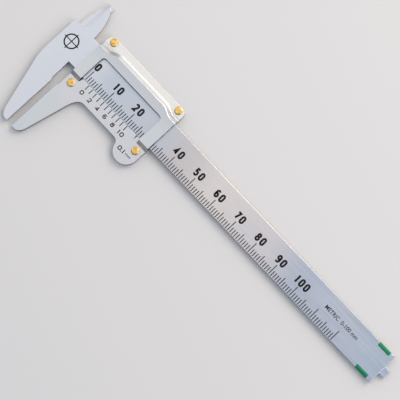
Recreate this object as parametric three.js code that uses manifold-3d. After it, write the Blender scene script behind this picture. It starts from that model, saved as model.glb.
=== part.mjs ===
// A pocket vernier caliper of formed stainless sheet, standing open by a small reading.
//
// Millimetres. X runs along the beam away from the fixed jaw, Y runs from the outside jaws to the
// inside jaws, and Z comes out of the graduated face. Everything is drawn with X = 0 on the fixed
// jaw's measuring face, Y = 0 on the beam's lower edge and Z = 0 on the surface that the caliper
// lies on. The exported group then puts the origin under the middle of the whole caliper.

import * as THREE from 'three';
import { mergeVertices } from 'three/addons/utils/BufferGeometryUtils.js';
import Module from 'manifold-3d';

const wasm = await Module();
wasm.setup();

// ---- Clearances ---------------------------------------------------------------------------------

const slideGap = 0.04;    // between the back plate and the beam's back
const coverGap = 0.06;    // between the beam's graduated face and the raised frame
const edgeGap = 0.03;     // between the beam's edges and what guides them
const fitGap = 0.02;      // round rivets, round pins and in the stop's notches
const rodGap = 0.06;      // each side of the depth rod in its groove
const overshoot = 1;      // how far a cutter runs past what it cuts

// ---- Beam with its fixed jaw and fixed inside blade ---------------------------------------------

const reading = 2.4;         // how far the slider stands open
const travel = 102.5;        // from closed until the slider meets the end stop
const beamWidth = 12;
const beamThickness = 1.2;
const headWidth = 9.8;       // from the fixed measuring face to the back of the head
const headRadius = 1.0;
const jawDepth = 28.6;       // from the beam's lower edge to both jaw tips
const jawShoulder = 4.5;     // from the beam's lower edge to where the head starts to taper
const jawTipWidth = 3.0;
const tipRound = 2.4;        // how far the tip's rounding reaches from its corner
const reliefDepth = 0.45;    // how far each measuring face stands proud of its relief
const reliefHeight = 8.0;    // from the beam's lower edge to the top of the measuring faces
const beamRelief = 0.4;      // how far the beam's lower edge is cut back beside the jaw
const beamReliefRun = 4.2;

// ---- Inside blades ------------------------------------------------------------------------------

const bladeOffset = 5.5;     // from the outside measuring faces to the inside measuring edges
const bladeHeight = 12.0;    // above the beam's upper edge
const bladeWidth = 5.1;      // fixed blade, at the root
const movingBladeWidth = 4.6;
const bladeTip = 0.7;
const bladeBelly = 4.65;     // width at which the curved back turns in
const bladeTurn = 9.0;       // height above the root at which it turns in
const knifeLand = 0.4;       // flat left on each measuring edge
const knifeWidth = 0.9;      // how far the knife bevel reaches across the blade
const knifeStart = 1.0;      // above the beam, where the bevel's cutter ran out

// ---- Slider -------------------------------------------------------------------------------------

const backSheet = 1.0;
const frontSheet = 1.2;
const sliderLength = 37.6;   // from the moving measuring face to the slider's far edge
const flangeHeight = 5.5;    // above the beam's upper edge
const flangeRadius = 2.0;
const skirtDepth = 5.85;     // below the beam's lower edge
const movingTipWidth = 3.4;
const movingShoulder = 8.85; // width of the moving jaw where it meets the skirt
const skirtFillet = 3.8;
const lobeRadius = 4.65;     // thumb lobe
const lobeDrop = 0.35;       // its centre, below the skirt's edge
const lobeFillet = 2.0;
const bridgeLow = 2.6;       // lower edge of the bar that carries the moving inside blade
const bridgeInset = 0.4;     // its upper edge, below the beam's upper edge
const bridgeRound = 3.0;

// ---- Raised frame of the front plate ------------------------------------------------------------

const rampRun = 1.3;         // how far the step from frame to flange reaches in plan
const lowerRamp = 0.6;       // from the beam's lower edge to the top of the lower step
const pocketHeight = 1.5;    // the spring pocket, above the beam's upper edge
const pocketStart = 3.9;     // where the pocket starts to swell at the jaw's end
const pocketEnd = 2.4;       // where it has closed again, from the slider's far edge
const pocketBlend = 4.8;
const armWidth = 4.0;        // frame beside the window, at the jaw's end
const farArmWidth = 4.4;     // frame beside the window, at the far end
const windowBar = 1.9;       // from the beam's upper edge down to the window
const windowRadius = 1.3;
const slitDepth = 1.7;       // slits that free the vernier's edge from the steps
const slitWidth = 0.45;
const slitInset = 1.6;       // far slit, from the window's far edge

// ---- Rivets, spring, depth rod and end stop -----------------------------------------------------

const nearRivetInset = 3.0;  // from the measuring face to the near rivets
const farRivetInset = 2.6;   // from the slider's far edge to the far rivets
const upperRivetDrop = 1.5;  // from the flange's upper edge to the upper rivets
const rivetClear = 0.6;      // from the foot of the lower step to the lower rivets' heads
const rivetShank = 0.8;
const rivetHead = 1.45;
const rivetRise = 0.55;
const rivetSink = 0.4;
const rivetSinkRadius = 1.25;

const springStrip = 0.25;
const springInset = 0.15;    // how much shallower it is than the beam, on each side
const springClear = 1.3;     // from the pocket's blends to the spring's ends

const rodWidth = 3.3;
const rodThickness = 0.65;
const rodStart = 6.0;        // from the moving measuring face to the rod's rooted end
const rodPinRadius = 0.55;
const rodPinFirst = 2.0;     // from the rod's rooted end
const rodPinPitch = 5.0;
const grooveClear = 0.09;    // between the rod and the groove's floor

const stopLength = 4.95;
const stopLeg = 1.25;        // how deep each leg reaches into the beam's edge
const stopRise = 0.25;       // legs, above the graduated face
const stopLip = 0.2;         // lips, over the graduated face
const tailLength = 2.05;     // of beam beyond the stop

// ---- Derived places -----------------------------------------------------------------------------

const beamBack = backSheet + slideGap;
const beamFace = beamBack + beamThickness;
const flangeFace = backSheet + frontSheet;
const frameBack = beamFace + coverGap;
const frameFace = frameBack + frontSheet;
const stopStart = sliderLength + travel;
const beamReach = stopStart + stopLength + tailLength;
const flangeTop = beamWidth + flangeHeight;
const rodMiddle = beamWidth / 2;
const windowStart = reliefDepth + armWidth;
const windowEnd = sliderLength - farArmWidth;
const windowTop = beamWidth - windowBar;
const rampSlope = rampRun / (frameFace - flangeFace);
const lowerRivetDrop = lowerRamp + rampRun + rivetClear + rivetHead;
const curveSteps = 10;

// ---- Materials ----------------------------------------------------------------------------------

const stainless = { color: 0xc4c8ce, roughness: 0.36, metalness: 1 };
const brass = { color: 0xd9b066, roughness: 0.38, metalness: 1 };
const bronze = { color: 0xb87f4a, roughness: 0.34, metalness: 1 };
const greenPlastic = { color: 0x148f63, roughness: 0.45, metalness: 0 };

// ---- Shapes and solids --------------------------------------------------------------------------

// Rounds the corner at (x, y) on the way to (nextX, nextY), from blendIn before it to blendOut after.
function roundCorner(path, x, y, nextX, nextY, blendIn, blendOut = blendIn) {
  const corner = new THREE.Vector2(x, y);
  const before = path.currentPoint.clone().sub(corner).setLength(blendIn).add(corner);
  const after = new THREE.Vector2(nextX, nextY).sub(corner).setLength(blendOut).add(corner);
  path.lineTo(before.x, before.y);
  path.quadraticCurveTo(x, y, after.x, after.y);
}

// A closed geometry as a manifold-3d solid.
function solidOf(geometry) {
  const bare = geometry.clone();
  bare.deleteAttribute('normal');
  bare.deleteAttribute('uv');
  const merged = mergeVertices(bare, 1e-5);
  const vertProperties = new Float32Array(merged.attributes.position.array);
  const triVerts = new Uint32Array(merged.index.array);
  return new wasm.Manifold(new wasm.Mesh({ numProp: 3, vertProperties, triVerts }));
}

// A flat plate of that outline between two heights.
function plate(shape, low, high) {
  const options = { depth: high - low, bevelEnabled: false, curveSegments: curveSteps };
  return solidOf(new THREE.ExtrudeGeometry(shape, options).translate(0, 0, low));
}

// A straight-sided block between two corners.
function block(lowX, lowY, lowZ, highX, highY, highZ) {
  const box = new THREE.BoxGeometry(highX - lowX, highY - lowY, highZ - lowZ);
  return solidOf(box.translate((lowX + highX) / 2, (lowY + highY) / 2, (lowZ + highZ) / 2));
}

// A solid turned about a vertical axis at (x, y), from [radius, height] pairs.
function turned(profile, x, y, segments) {
  const points = profile.map(([radius, height]) => new THREE.Vector2(radius, height));
  const lathe = new THREE.LatheGeometry(points, segments).rotateX(Math.PI / 2);
  return solidOf(lathe.translate(x, y, 0));
}

// A solid between an outline at one height and an outline with as many points at another.
function loft(lowOutline, lowZ, highOutline, highZ) {
  const count = lowOutline.length;
  const positions = [];
  lowOutline.forEach((p) => positions.push(p.x, p.y, lowZ));
  highOutline.forEach((p) => positions.push(p.x, p.y, highZ));
  const index = [];
  THREE.ShapeUtils.triangulateShape(lowOutline, []).forEach(([a, b, c]) => {
    index.push(a, c, b);
  });
  THREE.ShapeUtils.triangulateShape(highOutline, []).forEach(([a, b, c]) => {
    index.push(a + count, b + count, c + count);
  });
  for (let i = 0; i < count; i += 1) {
    const next = (i + 1) % count;
    index.push(i, next, next + count, i, next + count, i + count);
  }
  const geometry = new THREE.BufferGeometry();
  geometry.setAttribute('position', new THREE.Float32BufferAttribute(positions, 3));
  geometry.setIndex(index);
  return solidOf(geometry);
}

// A named mesh for a finished solid, with a material of its own.
function meshOf(name, solid, finish) {
  const { vertProperties, triVerts } = solid.getMesh();
  const indexed = new THREE.BufferGeometry();
  indexed.setAttribute('position', new THREE.BufferAttribute(vertProperties, 3));
  indexed.setIndex(new THREE.BufferAttribute(triVerts, 1));
  const geometry = indexed.toNonIndexed();
  geometry.computeVertexNormals();
  const mesh = new THREE.Mesh(geometry, new THREE.MeshStandardMaterial(finish));
  mesh.name = name;
  return mesh;
}

// ---- Inside blades ------------------------------------------------------------------------------

// Draws a blade up from its root's curved side to its tip, ending on the measuring edge. The blade's
// body lies on the side of the edge that side (+1 or -1) points to.
function climbBlade(path, edgeX, side) {
  const tipY = beamWidth + bladeHeight;
  path.lineTo(edgeX + side * bladeWidth, beamWidth);
  path.quadraticCurveTo(
    edgeX + side * bladeBelly, beamWidth + bladeTurn,
    edgeX + side * bladeTip, tipY,
  );
  path.lineTo(edgeX, tipY);
}

// The wedge that a knife bevel removes, beside the measuring edge and away from the flat landZ.
function knifeWedge(edgeX, side, landZ, farZ) {
  const out = Math.sign(farZ - landZ);
  const land = landZ + out * knifeLand;
  const slope = (farZ - land) / knifeWidth;
  const reach = knifeWidth + overshoot / 2;
  const section = new THREE.Shape();
  section.moveTo(edgeX - side * overshoot, land - slope * overshoot);
  section.lineTo(edgeX + side * reach, land + slope * reach);
  section.lineTo(edgeX - side * overshoot, land + slope * reach);
  const options = { depth: bladeHeight, bevelEnabled: false };
  const wedge = new THREE.ExtrudeGeometry(section, options).rotateX(Math.PI / 2);
  return solidOf(wedge.translate(0, beamWidth + knifeStart + bladeHeight, 0));
}

// ---- Beam ---------------------------------------------------------------------------------------

function beamOutline() {
  const shape = new THREE.Shape();
  const notchStart = stopStart - fitGap;
  const notchEnd = stopStart + stopLength + fitGap;
  const notchDepth = stopLeg + fitGap;
  shape.moveTo(beamReach, 0);
  shape.lineTo(beamReach, beamWidth);
  shape.lineTo(notchEnd, beamWidth);
  shape.lineTo(notchEnd, beamWidth - notchDepth);
  shape.lineTo(notchStart, beamWidth - notchDepth);
  shape.lineTo(notchStart, beamWidth);
  climbBlade(shape, -bladeOffset, 1);
  shape.lineTo(-bladeOffset, beamWidth);
  roundCorner(shape, -headWidth, beamWidth, -headWidth, 0, headRadius);
  roundCorner(shape, -headWidth, -jawShoulder, -jawTipWidth, -jawDepth, 3);
  roundCorner(shape, -jawTipWidth, -jawDepth, 0, -jawDepth, tipRound * 1.5, tipRound * 0.9);
  shape.lineTo(0, -jawDepth);
  shape.lineTo(0, -reliefHeight);
  shape.lineTo(-reliefDepth, -reliefHeight + reliefDepth);
  shape.lineTo(-reliefDepth, beamRelief);
  shape.lineTo(beamReliefRun, beamRelief);
  shape.lineTo(beamReliefRun + beamRelief, 0);
  shape.lineTo(notchStart, 0);
  shape.lineTo(notchStart, notchDepth);
  shape.lineTo(notchEnd, notchDepth);
  shape.lineTo(notchEnd, 0);
  shape.closePath();
  return shape;
}

// The groove in the beam's back that the depth rod runs in, with a round blind end.
function rodGroove() {
  const half = rodWidth / 2 + rodGap;
  const shape = new THREE.Shape();
  shape.moveTo(beamReach + overshoot, rodMiddle - half);
  shape.lineTo(beamReach + overshoot, rodMiddle + half);
  shape.lineTo(rodStart, rodMiddle + half);
  shape.absarc(rodStart, rodMiddle, half, Math.PI / 2, Math.PI * 1.5, false);
  return plate(shape, beamBack - overshoot, backSheet + rodThickness + grooveClear);
}

function beamSolid() {
  return plate(beamOutline(), beamBack, beamFace)
    .subtract(rodGroove())
    .subtract(knifeWedge(-bladeOffset, 1, beamBack, beamFace));
}

// ---- Slider plates, drawn from the moving measuring face -----------------------------------------

// Both plates' outline from the flange's upper corner, down the near side and round to the start.
// The back plate also carries the moving inside blade on a bar behind the beam.
function sliderOutline(withBlade) {
  const shape = new THREE.Shape();
  const skirt = -skirtDepth;
  const lobeY = skirt - lobeDrop;
  const lobeX = sliderLength - lobeRadius;
  const filletY = skirt - lobeFillet;
  const apart = lobeRadius + lobeFillet;
  const filletX = lobeX - Math.sqrt(apart ** 2 - (lobeY - filletY) ** 2);
  const touch = Math.atan2(filletY - lobeY, filletX - lobeX);
  shape.moveTo(0, -jawDepth);
  roundCorner(
    shape, movingTipWidth, -jawDepth, movingShoulder, skirt, tipRound * 0.9, tipRound * 1.5,
  );
  roundCorner(shape, movingShoulder, skirt, sliderLength, skirt, skirtFillet * 1.25, skirtFillet * 0.7);
  shape.lineTo(filletX, skirt);
  shape.absarc(filletX, filletY, lobeFillet, Math.PI / 2, touch + Math.PI, true);
  shape.absarc(lobeX, lobeY, lobeRadius, touch, 0, false);
  roundCorner(shape, sliderLength, flangeTop, 0, flangeTop, flangeRadius);
  roundCorner(shape, reliefDepth, flangeTop, reliefDepth, 0, flangeRadius);
  if (withBlade) {
    const bridgeTop = beamWidth - bridgeInset;
    const bladeBack = -bladeOffset - movingBladeWidth;
    shape.lineTo(reliefDepth, bridgeTop);
    shape.lineTo(-bladeOffset, bridgeTop);
    shape.lineTo(-bladeOffset, beamWidth + bladeHeight);
    shape.lineTo(-bladeOffset - bladeTip, beamWidth + bladeHeight);
    shape.quadraticCurveTo(
      -bladeOffset - bladeBelly, beamWidth + bladeTurn,
      bladeBack, beamWidth,
    );
    roundCorner(shape, bladeBack, bridgeLow, reliefDepth, bridgeLow, bridgeRound);
    shape.lineTo(reliefDepth, bridgeLow);
  }
  shape.lineTo(reliefDepth, -reliefHeight + reliefDepth);
  shape.lineTo(0, -reliefHeight);
  shape.closePath();
  return shape;
}

// Where the frame's raised top ends above the beam: it swells over the spring's pocket.
function frameTop(x) {
  const rise = THREE.MathUtils.smoothstep(x, pocketStart, pocketStart + pocketBlend);
  const end = sliderLength - pocketEnd;
  const fall = THREE.MathUtils.smoothstep(x, end - pocketBlend, end);
  return beamWidth + edgeGap * 2 + pocketHeight * (rise - fall);
}

// The frame's plan, spread outwards by the part of the step's run that lies above that height.
function frameOutline(spread, margin) {
  const near = reliefDepth - margin;
  const far = sliderLength + margin;
  const points = [new THREE.Vector2(near, -lowerRamp - spread)];
  points.push(new THREE.Vector2(far, -lowerRamp - spread));
  points.push(new THREE.Vector2(far, frameTop(far) + spread));
  const stations = 6;
  const end = sliderLength - pocketEnd;
  for (let i = 0; i <= stations; i += 1) {
    const x = end - (pocketBlend * i) / stations;
    points.push(new THREE.Vector2(x, frameTop(x) + spread));
  }
  for (let i = stations; i >= 0; i -= 1) {
    const x = pocketStart + (pocketBlend * i) / stations;
    points.push(new THREE.Vector2(x, frameTop(x) + spread));
  }
  points.push(new THREE.Vector2(near, frameTop(near) + spread));
  return points;
}

// The raised frame as a block whose upper and lower sides slope like the steps.
function frameBlock(lowZ, highZ, spreadLow, margin) {
  return loft(frameOutline(spreadLow, margin), lowZ, frameOutline(0, margin), highZ);
}

function frameWindow() {
  const shape = new THREE.Shape();
  shape.moveTo(windowStart, -rampRun - lowerRamp - overshoot);
  shape.lineTo(windowEnd, -rampRun - lowerRamp - overshoot);
  roundCorner(shape, windowEnd, windowTop, windowStart, windowTop, windowRadius);
  roundCorner(shape, windowStart, windowTop, windowStart, 0, windowRadius);
  return plate(shape, flangeFace, frameFace + overshoot);
}

// A thin wedge cut down into the vernier's edge.
function slit(startX, endX, footX) {
  const shape = new THREE.Shape();
  shape.moveTo(startX, 0);
  shape.lineTo(footX, -slitDepth);
  shape.lineTo(endX, 0);
  return plate(shape, backSheet - overshoot, flangeFace + overshoot);
}

// Places of the four rivets: near and far, above and below the beam.
function rivetPlaces() {
  const places = [];
  for (const [row, y] of [['upper', flangeTop - upperRivetDrop], ['lower', -lowerRivetDrop]]) {
    for (const [column, x] of [['near', nearRivetInset], ['far', sliderLength - farRivetInset]]) {
      places.push({ name: `rivet_${row}_${column}`, x, y });
    }
  }
  return places;
}

// A rivet's body, or its hole when gap is more than nothing.
function rivetBody(place, gap, topZ) {
  const shank = rivetShank + gap;
  const sink = rivetSinkRadius + gap;
  const profile = [[0, -gap], [sink, -gap], [sink, 0], [shank, rivetSink], [shank, topZ], [0, topZ]];
  if (gap === 0) {
    profile.splice(1, 1);
  }
  return turned(profile, place.x, place.y, 24);
}

function rivetHeadSolid(place) {
  const profile = [
    [0, flangeFace + fitGap],
    [rivetHead, flangeFace + fitGap],
    [rivetHead, flangeFace + rivetRise * 0.35],
    [rivetHead * 0.93, flangeFace + rivetRise * 0.7],
    [rivetHead * 0.72, flangeFace + rivetRise * 0.93],
    [0, flangeFace + rivetRise],
  ];
  return turned(profile, place.x, place.y, 24);
}

function rivetSolid(place) {
  return rivetBody(place, 0, flangeFace + rivetRise / 2).add(rivetHeadSolid(place));
}

function drillForRivets(solid) {
  return rivetPlaces().reduce(
    (drilled, place) => drilled.subtract(rivetBody(place, fitGap, frameFace + overshoot)),
    solid,
  );
}

function frontPlateSolid() {
  const flange = plate(sliderOutline(false), backSheet, flangeFace);
  const overlap = frontSheet / 4;
  const innerLow = backSheet - overshoot;
  const outer = frameBlock(flangeFace - overlap, frameFace, rampRun + overlap * rampSlope, 0);
  const inner = frameBlock(innerLow, frameBack, (frameBack - innerLow) * rampSlope, overshoot);
  const tongue = block(windowStart, -skirtDepth / 2, backSheet, windowEnd, -edgeGap, flangeFace);
  const farSlit = windowEnd - slitInset;
  const formed = flange.add(outer).subtract(inner).subtract(frameWindow()).add(tongue)
    .subtract(slit(windowStart, windowStart + slitWidth, windowStart + slitWidth / 4))
    .subtract(slit(farSlit - slitWidth / 2, farSlit + slitWidth / 2, farSlit));
  return drillForRivets(formed);
}

// ---- Depth rod, spring and stop -----------------------------------------------------------------

const rodEnd = beamReach;    // flush with the beam's end when the caliper is closed

function rodPinPlaces() {
  return [0, 1].map((i) => rodStart + rodPinFirst + rodPinPitch * i);
}

function rodPinSolid(x, gap) {
  const radius = rodPinRadius + gap;
  const low = gap > 0 ? -overshoot : 0;
  const high = backSheet + rodThickness + (gap > 0 ? overshoot : 0);
  return turned([[0, low], [radius, low], [radius, high], [0, high]], x, rodMiddle, 16);
}

function drillForPins(solid) {
  return rodPinPlaces().reduce((drilled, x) => drilled.subtract(rodPinSolid(x, fitGap)), solid);
}

function rodSolid() {
  const low = rodMiddle - rodWidth / 2;
  const high = rodMiddle + rodWidth / 2;
  const tipRadius = 0.35;
  const rootRadius = rodWidth / 3;
  const shape = new THREE.Shape();
  shape.moveTo(rodStart + rootRadius, low);
  roundCorner(shape, rodEnd, low, rodEnd, high, tipRadius);
  roundCorner(shape, rodEnd, high, rodStart, high, tipRadius);
  roundCorner(shape, rodStart, high, rodStart, low, rootRadius);
  roundCorner(shape, rodStart, low, rodEnd, low, rootRadius);
  shape.closePath();
  return drillForPins(plate(shape, backSheet, backSheet + rodThickness));
}

function backPlateSolid() {
  const flat = plate(sliderOutline(true), 0, backSheet);
  const ground = flat.subtract(knifeWedge(-bladeOffset, -1, backSheet, 0));
  return drillForPins(drillForRivets(ground));
}

// A bowed strip whose middle presses on the beam's upper edge and whose ends bear on the pocket.
function springSolid() {
  const near = pocketStart + pocketBlend + springClear;
  const far = sliderLength - pocketEnd - pocketBlend - springClear;
  const middle = (near + far) / 2;
  const front = beamFace - springInset;
  const roof = frameTop(middle) + (frameBack - front) * rampSlope;
  const crown = beamWidth + edgeGap;
  const ends = roof - edgeGap - springStrip;
  const bow = 2 * crown - ends;
  const shape = new THREE.Shape();
  shape.moveTo(near, ends);
  shape.quadraticCurveTo(middle, bow, far, ends);
  shape.lineTo(far, ends + springStrip);
  shape.quadraticCurveTo(middle, bow + springStrip, near, ends + springStrip);
  shape.closePath();
  return plate(shape, beamBack + springInset, front);
}

// A clip across the beam's back whose legs fill the notches and hook over the graduated face.
function stopSolid() {
  const near = stopStart;
  const far = stopStart + stopLength;
  const top = beamFace + stopRise;
  const bridge = block(near, 0, 0, far, beamWidth, backSheet - slideGap);
  const lowLeg = block(near, 0, 0, far, stopLeg, top);
  const highLeg = block(near, beamWidth - stopLeg, 0, far, beamWidth, top);
  const lipBack = beamFace + fitGap;
  const lowLip = block(near, 0, lipBack, far, stopLeg + stopLip, top);
  const highLip = block(near, beamWidth - stopLeg - stopLip, lipBack, far, beamWidth, top);
  return bridge.add(lowLeg).add(highLeg).add(lowLip).add(highLip);
}

// ---- The caliper --------------------------------------------------------------------------------

const beamGroup = new THREE.Group();
beamGroup.add(meshOf('beam_with_fixed_jaw', beamSolid(), stainless));
beamGroup.add(meshOf('end_stop_clip', stopSolid(), greenPlastic));

const sliderGroup = new THREE.Group();
sliderGroup.position.x = reading;
sliderGroup.add(meshOf('slider_front_plate', frontPlateSolid(), stainless));
sliderGroup.add(meshOf('slider_back_plate', backPlateSolid(), stainless));
sliderGroup.add(meshOf('depth_rod', rodSolid(), stainless));
sliderGroup.add(meshOf('leaf_spring', springSolid(), bronze));
rivetPlaces().forEach((place) => sliderGroup.add(meshOf(place.name, rivetSolid(place), brass)));
rodPinPlaces().forEach((x, i) => {
  sliderGroup.add(meshOf(`depth_rod_pin_${i + 1}`, rodPinSolid(x, 0), stainless));
});

const middleX = (rodEnd + reading - headWidth) / 2;
const middleY = (beamWidth + bladeHeight - jawDepth) / 2;
const caliper = new THREE.Group();
caliper.position.set(-middleX, -middleY, 0);
caliper.add(beamGroup, sliderGroup);

export default caliper;
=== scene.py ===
import math
import bmesh
import bpy
from mathutils import Matrix, Vector


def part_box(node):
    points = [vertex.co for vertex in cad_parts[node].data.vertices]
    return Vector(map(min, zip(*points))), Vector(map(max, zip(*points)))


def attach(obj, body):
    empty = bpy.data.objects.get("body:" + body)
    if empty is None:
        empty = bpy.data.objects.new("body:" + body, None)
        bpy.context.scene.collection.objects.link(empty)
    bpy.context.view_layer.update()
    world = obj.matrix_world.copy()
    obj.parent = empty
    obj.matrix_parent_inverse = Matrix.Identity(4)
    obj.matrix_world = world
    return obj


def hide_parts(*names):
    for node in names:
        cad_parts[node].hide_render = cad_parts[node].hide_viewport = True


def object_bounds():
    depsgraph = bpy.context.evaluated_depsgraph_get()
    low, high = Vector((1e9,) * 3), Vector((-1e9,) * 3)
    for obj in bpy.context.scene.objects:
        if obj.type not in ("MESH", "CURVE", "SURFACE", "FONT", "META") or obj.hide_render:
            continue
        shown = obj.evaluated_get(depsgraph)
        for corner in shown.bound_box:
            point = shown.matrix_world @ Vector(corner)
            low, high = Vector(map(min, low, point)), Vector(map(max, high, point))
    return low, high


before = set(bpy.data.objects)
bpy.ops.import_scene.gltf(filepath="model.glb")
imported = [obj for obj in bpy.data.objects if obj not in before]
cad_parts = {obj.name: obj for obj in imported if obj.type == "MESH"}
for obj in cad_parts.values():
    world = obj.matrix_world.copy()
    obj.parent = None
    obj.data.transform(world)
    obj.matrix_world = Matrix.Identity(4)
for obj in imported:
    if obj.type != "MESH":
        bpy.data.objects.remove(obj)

cadBounds = [list(corner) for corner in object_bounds()]
mm = 0.001
print("frame loaded:", len(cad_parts), "nodes")


# Drawings below are in millimetres from two datums: the fixed measuring face and the moving one,
# both at the beam's lower edge and on the surface that the caliper lies on.
headWidth = 9.8
beamLow, beamHigh = (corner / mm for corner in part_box("beam_with_fixed_jaw"))
stopLow, stopHigh = (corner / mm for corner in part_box("end_stop_clip"))
frontLow, frontHigh = (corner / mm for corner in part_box("slider_front_plate"))
backLow, backHigh = (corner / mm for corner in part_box("slider_back_plate"))
rodLow, rodHigh = (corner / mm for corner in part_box("depth_rod"))
beamDatum = Vector((beamLow.x + headWidth, stopLow.y, 0))
sliderDatum = Vector((frontLow.x, stopLow.y, 0))
beamWidth = stopHigh.y - stopLow.y
jawDepth = stopLow.y - beamLow.y
bladeHeight = beamHigh.y - stopHigh.y
sliderLength = frontHigh.x - frontLow.x
beamFace = beamHigh.z
flangeFace = backHigh.z + 1.2
frameFace = frontHigh.z


# Rounds a corner with a soft blend that starts and ends at the given distances from it.
def roundCorner(path, corner, following, blendIn, blendOut=None, steps=12):
    corner, following, last = Vector(corner), Vector(following), Vector(path[-1])
    start = corner + (last - corner).normalized() * blendIn
    end = corner + (following - corner).normalized() * (blendOut or blendIn)
    for i in range(steps + 1):
        t = i / steps
        point = start * (1 - t) ** 2 + corner * 2 * t * (1 - t) + end * t * t
        path.append((point.x, point.y))


# Carries a path on to the end along a curve that is pulled towards the control point.
def bend(path, control, end, steps=14):
    start, control, end = Vector(path[-1]), Vector(control), Vector(end)
    for i in range(1, steps + 1):
        t = i / steps
        point = start * (1 - t) ** 2 + control * 2 * t * (1 - t) + end * t * t
        path.append((point.x, point.y))


# Carries a path round a centre, between two angles in radians.
def arc(path, centre, radius, start, end, steps=20):
    for i in range(steps + 1):
        angle = start + (end - start) * i / steps
        path.append((centre[0] + radius * math.cos(angle), centre[1] + radius * math.sin(angle)))


def circle(centre, radius, steps=40):
    path = []
    arc(path, centre, radius, 0, math.tau * (steps - 1) / steps, steps - 1)
    return path


def newPiece(name, mesh):
    piece = bpy.data.objects.new(name, mesh)
    bpy.context.scene.collection.objects.link(piece)
    return piece


shortestSide = 0.004  # nearer points of an outline are taken as one


# A solid with that outline in plan, between two heights, all in millimetres from a datum. The spread
# is how much deeper in Y the outline is at the top than at the bottom.
def plate(name, outline, low, high, datum, spread=0.0):
    points = [p for i, p in enumerate(outline) if math.dist(p, outline[i - 1]) > shortestSide]
    area = sum(a[0] * b[1] - b[0] * a[1] for a, b in zip(points, points[1:] + points[:1]))
    if area < 0:
        points.reverse()
    count = len(points)
    bottom, top = min(y for x, y in points), max(y for x, y in points)
    rings = [points, [(x, y + spread * (y - bottom) / (top - bottom)) for x, y in points]]
    verts = [((x + datum.x) * mm, (y + datum.y) * mm, z * mm)
             for ring, z in zip(rings, (low, high)) for x, y in ring]
    faces = [tuple(range(count - 1, -1, -1)), tuple(range(count, 2 * count))]
    faces += [(i, (i + 1) % count, (i + 1) % count + count, i + count) for i in range(count)]
    mesh = bpy.data.meshes.new(name)
    mesh.from_pydata(verts, [], faces)
    return newPiece(name, mesh)


def applyModifiers(piece):
    graph = bpy.context.evaluated_depsgraph_get()
    mesh = bpy.data.meshes.new_from_object(piece.evaluated_get(graph))
    piece.modifiers.clear()
    piece.data = mesh


def cutAway(piece, *cutters):
    for cutter in cutters:
        cut = piece.modifiers.new("cut", "BOOLEAN")
        cut.operation, cut.solver, cut.object = "DIFFERENCE", "EXACT", cutter
        applyModifiers(piece)
        bpy.data.objects.remove(cutter)


# Breaks the sharp edges, as tumbling does.
def breakEdges(piece, width, segments=2):
    bevel = piece.modifiers.new("broken edges", "BEVEL")
    bevel.width, bevel.segments = width * mm, segments
    bevel.limit_method, bevel.angle_limit = "ANGLE", math.radians(38)
    applyModifiers(piece)


# Smooth shading in which the flat faces stay flat right up to their broken edges.
def shade(piece, crisp=35):
    mesh = piece.data
    mesh.polygons.foreach_set("use_smooth", [True] * len(mesh.polygons))
    mesh.set_sharp_from_angle(angle=math.radians(crisp))
    level = {}
    for face in mesh.polygons:
        if abs(face.normal.z) > 0.9999:
            level.update((vertex, face.normal.copy()) for vertex in face.vertices)
    normals = [corner.vector.copy() for corner in mesh.corner_normals]
    for face in mesh.polygons:
        for loop, vertex in zip(face.loop_indices, face.vertices):
            flat = level.get(vertex)
            if flat is not None and flat.dot(face.normal) > 0.75:
                normals[loop] = flat
    mesh.normals_split_custom_set(normals)


# A solid from points in millimetres and its faces, turned to point outwards.
def closedPiece(name, verts, faces):
    mesh = bpy.data.meshes.new(name)
    mesh.from_pydata([Vector(vert) * mm for vert in verts], [], faces)
    solid = bmesh.new()
    solid.from_mesh(mesh)
    bmesh.ops.recalc_face_normals(solid, faces=solid.faces)
    solid.to_mesh(mesh)
    solid.free()
    return newPiece(name, mesh)


# A solid turned about a vertical axis, from (radius, height) pairs in millimetres.
def turned(name, profile, x, y, datum, steps=40):
    mesh = bpy.data.meshes.new(name)
    solid = bmesh.new()
    rings = []
    for radius, height in profile:
        ring = []
        for i in range(steps if radius > 0 else 1):
            angle = math.tau * i / steps
            place = (x + datum.x + radius * math.cos(angle), y + datum.y + radius * math.sin(angle), height)
            ring.append(solid.verts.new(Vector(place) * mm))
        rings.append(ring)
    for low, high in zip(rings, rings[1:]):
        for i in range(steps):
            j = (i + 1) % steps
            corners = [low[i % len(low)], low[j % len(low)], high[j % len(high)], high[i % len(high)]]
            solid.faces.new(list(dict.fromkeys(corners)))
    bmesh.ops.recalc_face_normals(solid, faces=solid.faces)
    solid.to_mesh(mesh)
    solid.free()
    return newPiece(name, mesh)


# A colour code as linear light, with full cover.
def linear(code):
    channels = [int(code[i:i + 2], 16) / 255 for i in (1, 3, 5)]
    return tuple(c / 12.92 if c <= 0.04045 else ((c + 0.055) / 1.055) ** 2.4 for c in channels) + (1,)


# Adds a node, sets its inputs and properties, and links sockets into it.
def addNode(tree, kind, settings=None, links=None):
    node = tree.nodes.new(kind)
    for key, value in (settings or {}).items():
        if isinstance(key, int) or key in node.inputs:
            node.inputs[key].default_value = value
        else:
            setattr(node, key, value)
    for key, socket in (links or {}).items():
        tree.links.new(socket, node.inputs[key])
    return node


def newMaterial(name, settings):
    material = bpy.data.materials.new(name)
    material.use_nodes = True
    tree = material.node_tree
    tree.nodes.clear()
    shader = addNode(tree, "ShaderNodeBsdfPrincipled", settings)
    addNode(tree, "ShaderNodeOutputMaterial", None, {"Surface": shader.outputs[0]})
    return material, tree, shader


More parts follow.
